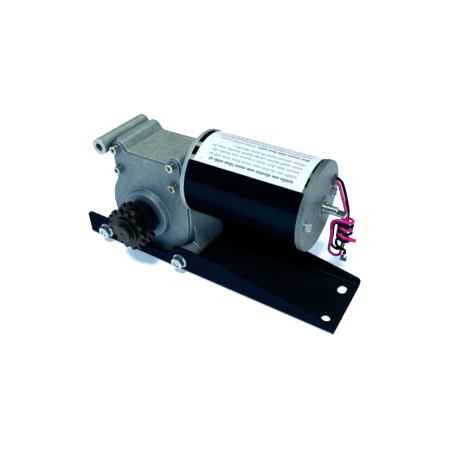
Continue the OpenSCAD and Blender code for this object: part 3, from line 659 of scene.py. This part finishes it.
def ink_block(bm, x0, x1, angle0, angle1):
    """A thin curved block of ink, x in millimetres and angles in degrees back from the top."""
    low, high = LABEL_R - INK_SINK, LABEL_R + INK_RISE
    corners = [
        bm.verts.new((
            x * MM,
            r * math.sin(math.radians(a)) * MM,
            (MOTOR_Z + r * math.cos(math.radians(a))) * MM,
        ))
        for x in (x0, x1) for a in (angle0, angle1) for r in (low, high)
    ]
    for ring in BLOCK_FACES:
        bm.faces.new([corners[i] for i in ring])


def ink_row(bm, rng, angle, height, x_right, x_left, weight):
    """One line of unreadable dashes in word-like groups, running from +X to -X."""
    half = math.degrees(height / LABEL_R) / 2
    x = x_right
    while x > x_left + 3:
        for _ in range(rng.randint(2, 9)):
            width = rng.uniform(0.75, 1.15) * height * LETTER_WIDTH
            tall = rng.choice((SHORT_LETTER, SHORT_LETTER, SHORT_LETTER, TALL_LETTER))
            if x - width < x_left:
                break
            ink_block(bm, x - width * weight, x, angle + half - 2 * half * tall, angle + half)
            x -= width + height * LETTER_GAP
        x -= height * WORD_GAP


def make_print(name, rows, material):
    """Rows of (angle, letter height, right end, left end, share of each letter inked)."""
    bm = bmesh.new()
    rng = random.Random(PRINT_SEED)
    for row in rows:
        ink_row(bm, rng, *row)
    piece = add_mesh_piece(name, bm)
    piece.data.materials.append(material)
    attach(piece, "casing")


make_print("label_print_bold", [
    (-37.5, 3.2, TEXT_RIGHT - 3, TEXT_LEFT + 6, 0.95),
    (-0.5, 3.0, TEXT_RIGHT, MIDDLE, 0.95),
    (-40.0, 1.6, TEXT_LEFT - 1, TEXT_LEFT - 5.5, 0.9),
], finishes["bold_ink"])
make_print("label_print_fine", [
    (-30.8, 3.0, TEXT_RIGHT - 2, TEXT_LEFT + 4, 0.8),
    (-24.2, 3.0, TEXT_RIGHT - 1.5, TEXT_LEFT + 5, 0.8),
    (-17.6, 3.0, TEXT_RIGHT - 1, TEXT_LEFT + 2, 0.8),
    (-10.8, 3.0, TEXT_RIGHT - 0.5, TEXT_LEFT + 20, 0.8),
    (-0.5, 3.0, MIDDLE - 2, TEXT_LEFT + 3, 0.8),
    (6.5, 2.8, TEXT_RIGHT, TEXT_LEFT, 0.8),
    (13.2, 2.8, TEXT_RIGHT, TEXT_LEFT + 1, 0.8),
    (20.0, 2.8, TEXT_RIGHT, TEXT_LEFT, 0.8),
    (27.0, 2.8, TEXT_RIGHT, TEXT_LEFT + 2, 0.8),
    (34.0, 2.8, TEXT_RIGHT, TEXT_LEFT, 0.8),
    (41.0, 2.8, TEXT_RIGHT, TEXT_LEFT + 1, 0.8),
    (48.0, 2.8, TEXT_RIGHT, TEXT_LEFT + 24, 0.8),
], finishes["ink"])

# ---------------------------------------------------------------- studio


LIT_POINT = Vector((0.07, 0, 0.06))


def shine(name, lamp, energy, colour, towards):
    """Puts a lamp in the scene, turned to shine towards a direction."""
    lamp.energy = energy
    lamp.color = colour
    holder = add_object(name, lamp)
    holder.rotation_euler = towards.to_track_quat("-Z", "Y").to_euler()
    return holder


def area_light(name, position, size, watts, colour):
    lamp = bpy.data.lights.new(name, "AREA")
    lamp.shape = "RECTANGLE"
    lamp.size, lamp.size_y = size
    shine(name, lamp, watts, colour, LIT_POINT - Vector(position)).location = position


def sun_light(name, position, strength, spread, colour):
    lamp = bpy.data.lights.new(name, "SUN")
    lamp.angle = math.radians(spread)
    shine(name, lamp, strength, colour, -Vector(position))


sun_light("key", (0.18, -0.56, 1.45), 3.4, 10, (1.0, 0.98, 0.91))
sun_light("top", (-0.05, 0.30, 1.0), 0.7, 45, (1.0, 0.98, 0.93))
area_light("fill_left", (-1.5, -0.9, 0.8), (1.2, 1.0), 6, (0.20, 0.74, 1.0))
area_light("fill_right", (1.6, 0.3, 0.9), (1.0, 1.0), 2, (0.16, 0.58, 1.0))
area_light("fill_low", (0.80, -1.1, 0.22), (0.9, 0.3), 6, (0.06, 0.52, 1.0))

world = bpy.data.worlds.new("studio")
bpy.context.scene.world = world
world.use_nodes = True
tree = world.node_tree
background = tree.nodes["Background"]
background.inputs["Color"].default_value = (0.17, 0.56, 1.0, 1)
background.inputs["Strength"].default_value = 0.28
backdrop = tree.nodes.new("ShaderNodeBackground")
backdrop.inputs["Color"].default_value = (1, 1, 1, 1)
rays = tree.nodes.new("ShaderNodeLightPath")
either = tree.nodes.new("ShaderNodeMixShader")
tree.links.new(rays.outputs["Is Camera Ray"], either.inputs[0])
tree.links.new(background.outputs[0], either.inputs[1])
tree.links.new(backdrop.outputs[0], either.inputs[2])
tree.links.new(either.outputs[0], tree.nodes["World Output"].inputs["Surface"])

FLOOR_SIZE = 8.0
FLOOR_DROP = 0.0002
floor_mesh = bpy.data.meshes.new("studio_floor")
floor_mesh.from_pydata(
    [(x * FLOOR_SIZE / 2, y * FLOOR_SIZE / 2, -FLOOR_DROP) for x, y in
     ((-1, -1), (1, -1), (1, 1), (-1, 1))],
    [], [(0, 1, 2, 3)],
)
floor = add_object("studio_floor", floor_mesh)
paper = Paint("floor_paper")
paper_tone = paper.noise(0.004, detail=3)
paper.put(paper.shader.inputs["Emission Color"], (0.66, 0.84, 1.0))
paper.put(paper.shader.inputs["Emission Strength"], 0.40)
floor_mesh.materials.append(paper.finish(
    paper.mix(paper_tone, (0.87, 0.93, 0.96), (0.85, 0.91, 0.94)), 0.9, specular=0.1,
))

bpy.context.scene.view_settings.view_transform = "Standard"
